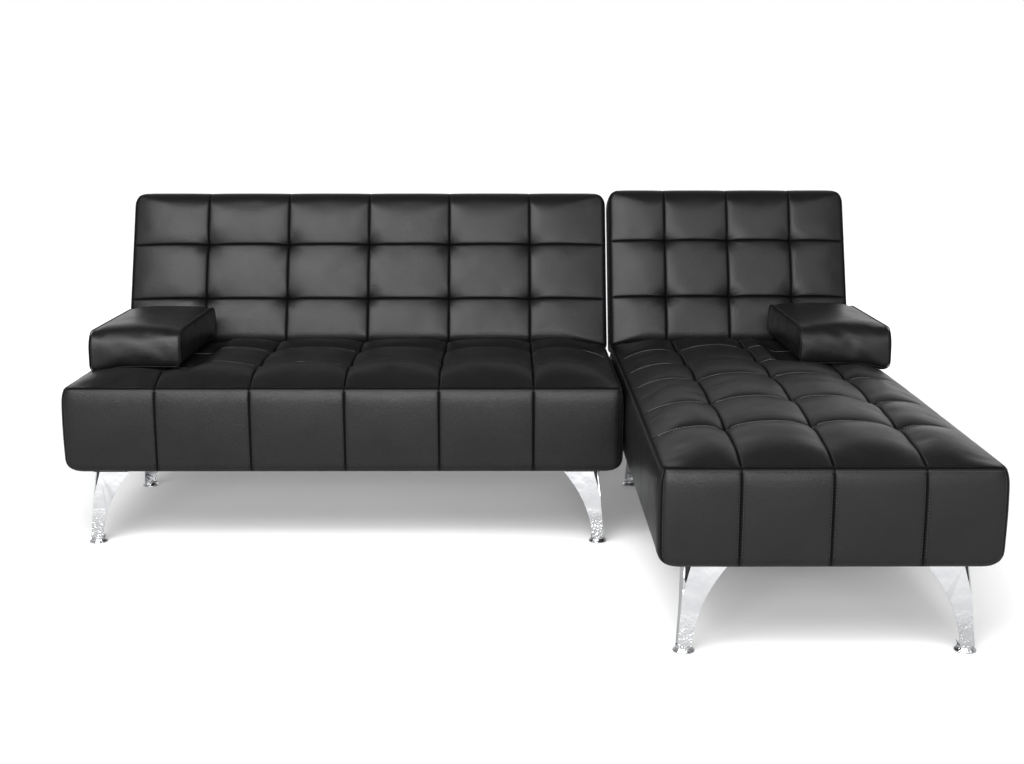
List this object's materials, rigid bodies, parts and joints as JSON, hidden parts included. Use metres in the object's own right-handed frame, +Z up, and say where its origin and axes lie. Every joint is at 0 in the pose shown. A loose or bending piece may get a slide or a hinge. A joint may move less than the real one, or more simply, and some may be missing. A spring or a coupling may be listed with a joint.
{
  "type": "futon sofa bed",
  "caption": "L-shaped sectional futon sofa bed in black tufted faux leather, with a chaise, backs that recline flat, loose bolsters and splayed chrome legs.",
  "frame": {"origin": "middle of the footprint, on the floor under the feet", "axes": "+X to the right as seen from the front (the chaise is at +X), +Y to the rear, +Z up"},
  "size_m": [2.223, 1.7484, 0.8932],
  "materials": {
    "black_leather": "semi-gloss faux leather, fine grain",
    "dust_cloth": "matt non-woven",
    "plywood": "raw board",
    "frame_steel": "black powder coat",
    "zinc_steel": "zinc plated",
    "chrome": "mirror polished",
    "black_plastic": "moulded, matt"
  },
  "bodies": {
    "seats": {"sofa_seat_cushion": "black_leather", "sofa_front_rail": "frame_steel", "sofa_rear_rail": "frame_steel", "sofa_left_rail": "frame_steel", "sofa_right_rail": "frame_steel", "sofa_deck_board": "plywood", "sofa_dust_cover": "dust_cloth", "sofa_leg_front_left": "chrome", "sofa_leg_front_right": "chrome", "sofa_leg_rear_left": "chrome", "sofa_leg_rear_right": "chrome", "sofa_leg_bracket_front_left": "black_plastic", "sofa_leg_bracket_front_right": "black_plastic", "sofa_leg_bracket_rear_left": "black_plastic", "sofa_leg_bracket_rear_right": "black_plastic", "sofa_foot_front_left": "chrome", "sofa_foot_front_right": "chrome", "sofa_foot_rear_left": "chrome", "sofa_foot_rear_right": "chrome", "sofa_hinge_plate_left": "zinc_steel", "sofa_hinge_bolt_left": "zinc_steel", "sofa_hinge_plate_right": "zinc_steel", "sofa_hinge_bolt_right": "zinc_steel", "chaise_seat_cushion": "black_leather", "chaise_front_rail": "frame_steel", "chaise_rear_rail": "frame_steel", "chaise_left_rail": "frame_steel", "chaise_right_rail": "frame_steel", "chaise_deck_board": "plywood", "chaise_dust_cover": "dust_cloth", "chaise_leg_front_left": "chrome", "chaise_leg_front_right": "chrome", "chaise_leg_rear_left": "chrome", "chaise_leg_rear_right": "chrome", "chaise_leg_bracket_front_left": "black_plastic", "chaise_leg_bracket_front_right": "black_plastic", "chaise_leg_bracket_rear_left": "black_plastic", "chaise_leg_bracket_rear_right": "black_plastic", "chaise_foot_front_left": "chrome", "chaise_foot_front_right": "chrome", "chaise_foot_rear_left": "chrome", "chaise_foot_rear_right": "chrome", "chaise_hinge_plate_left": "zinc_steel", "chaise_hinge_bolt_left": "zinc_steel", "chaise_hinge_plate_right": "zinc_steel", "chaise_hinge_bolt_right": "zinc_steel", "link_plate": "zinc_steel"},
    "sofa_backrest": {"sofa_back_cushion": "black_leather", "sofa_back_core_board": "plywood", "sofa_back_panel": "black_leather", "sofa_hinge_arm_left": "zinc_steel", "sofa_hinge_arm_right": "zinc_steel"},
    "chaise_backrest": {"chaise_back_cushion": "black_leather", "chaise_back_core_board": "plywood", "chaise_back_panel": "black_leather", "chaise_hinge_arm_left": "zinc_steel", "chaise_hinge_arm_right": "zinc_steel"},
    "left_bolster": {"sofa_bolster": "black_leather"},
    "right_bolster": {"chaise_bolster": "black_leather"}
  },
  "joints": [
    {"name": "sofa_back_recline", "type": "hinge", "parent": "seats", "child": "sofa_backrest", "pos_m": [-0.374, 0.59826, 0.4], "axis": [-1, 0, 0], "range_deg": [-8, 69]},
    {"name": "chaise_back_recline", "type": "hinge", "parent": "seats", "child": "chaise_backrest", "pos_m": [0.743, 0.59826, 0.4], "axis": [-1, 0, 0], "range_deg": [-8, 69]},
    {"name": "left_bolster_lift", "type": "slide", "parent": "seats", "child": "left_bolster", "axis": [0, 0, 1], "range_m": [0, 0.3]},
    {"name": "right_bolster_lift", "type": "slide", "parent": "seats", "child": "right_bolster", "axis": [0, 0, 1], "range_m": [0, 0.3]}
  ]
}
